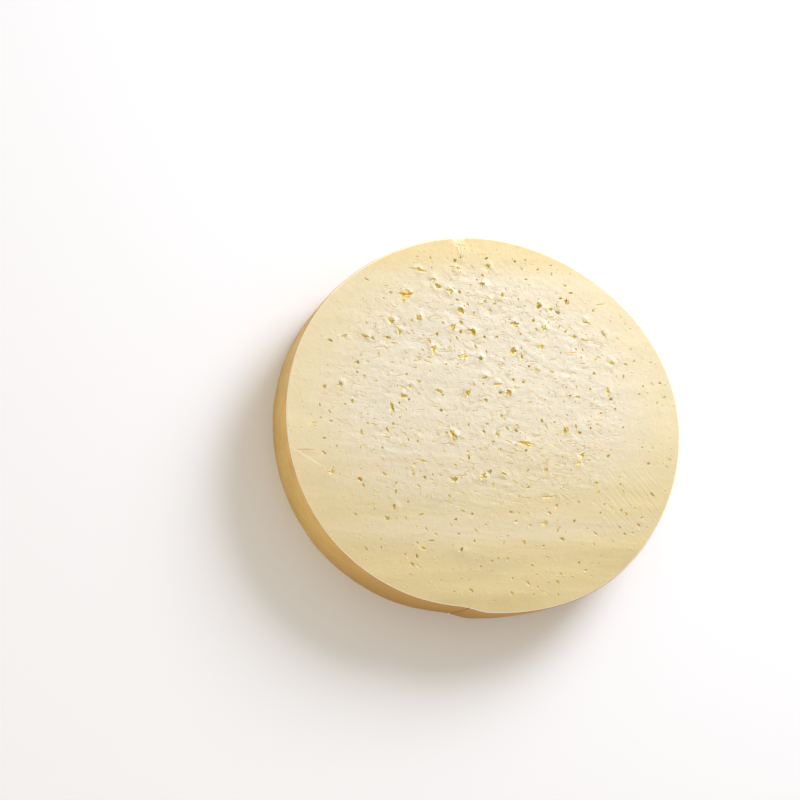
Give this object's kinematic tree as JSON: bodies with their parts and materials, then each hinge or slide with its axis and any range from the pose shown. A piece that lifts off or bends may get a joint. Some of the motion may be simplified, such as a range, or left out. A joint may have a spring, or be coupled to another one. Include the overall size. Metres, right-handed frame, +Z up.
{
  "type": "round cheese slice",
  "caption": "Thick round slice of pale semi-hard cheese, cut across a pressed log, with many small irregular openings and a thin tan rind",
  "frame": {"origin": "middle of the bounding box at the level of the underside, which is the lower cut face that the slice rests on", "axes": "+Z up, out of the shown cut face and along the thickness; +X along the wider way across the oval disc, towards the shown right; +Y towards the shown top edge with the nick"},
  "size_m": [0.211, 0.1912, 0.028],
  "materials": {
    "cheese_paste": "moist satin cut face, pale cream, small golden openings",
    "cheese_rind": "dry ribbed tan rind"
  },
  "bodies": {
    "root": {"cheese_slice": "cheese_paste"}
  },
  "joints": []
}
